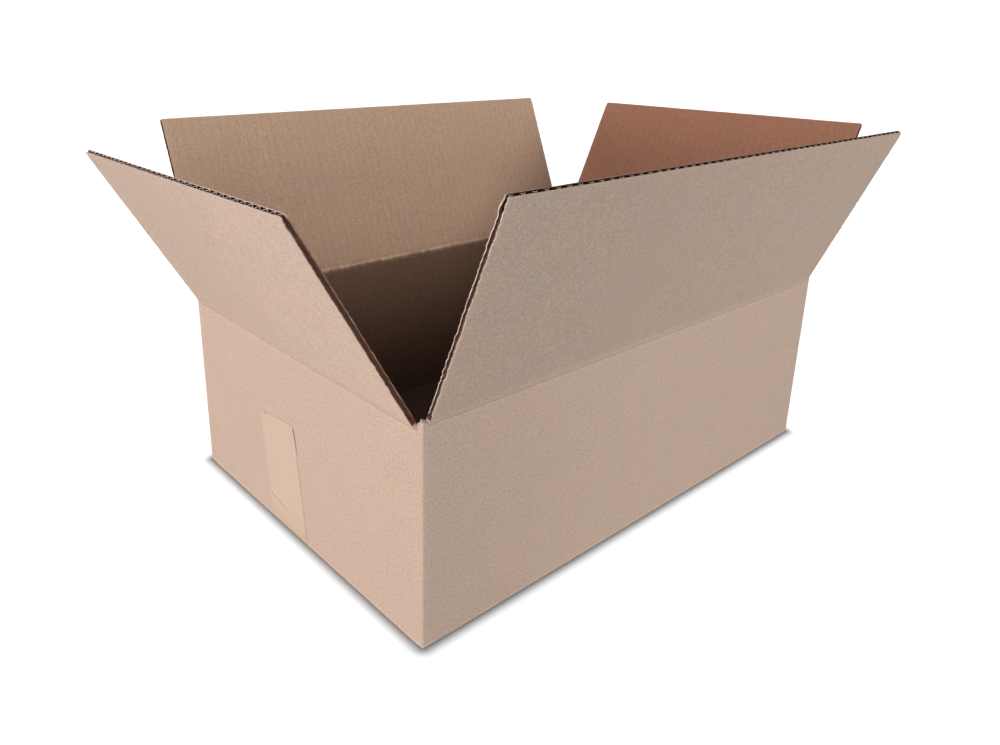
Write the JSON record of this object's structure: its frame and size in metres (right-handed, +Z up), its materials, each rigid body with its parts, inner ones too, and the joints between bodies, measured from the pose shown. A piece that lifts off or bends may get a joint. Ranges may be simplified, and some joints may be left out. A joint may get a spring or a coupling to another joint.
{
  "type": "open cardboard box",
  "caption": "Open slotted carton of single-wall corrugated board, with hinged top flaps splayed outward and a taped bottom.",
  "frame": {"origin": "middle of the underside that the box stands on, under the middle of its four walls", "axes": "+X along the long walls, +Y across them towards the back wall, +Z up out of the open top"},
  "size_m": [0.5736, 0.3995, 0.2821],
  "materials": {
    "kraft_board": "matt brown kraft paper",
    "packing_tape": "beige film with a slight gloss"
  },
  "bodies": {
    "carton": {"carton_body": "kraft_board", "bottom_tape": "packing_tape"},
    "front_flap": {"top_flap_front": "kraft_board"},
    "back_flap": {"top_flap_back": "kraft_board"},
    "left_flap": {"top_flap_left": "kraft_board"},
    "right_flap": {"top_flap_right": "kraft_board"}
  },
  "joints": [
    {"name": "front_score", "type": "hinge", "parent": "carton", "child": "front_flap", "pos_m": [0, -0.145, 0.1465], "axis": [1, 0, 0], "range_deg": [-112.5, 132.5]},
    {"name": "back_score", "type": "hinge", "parent": "carton", "child": "back_flap", "pos_m": [0, 0.145, 0.1465], "axis": [-1, 0, 0], "range_deg": [-112, 133]},
    {"name": "left_score", "type": "hinge", "parent": "carton", "child": "left_flap", "pos_m": [-0.217, 0, 0.1423], "axis": [0, -1, 0], "range_deg": [-120, 125]},
    {"name": "right_score", "type": "hinge", "parent": "carton", "child": "right_flap", "pos_m": [0.217, 0, 0.1423], "axis": [0, 1, 0], "range_deg": [-116, 129]}
  ]
}
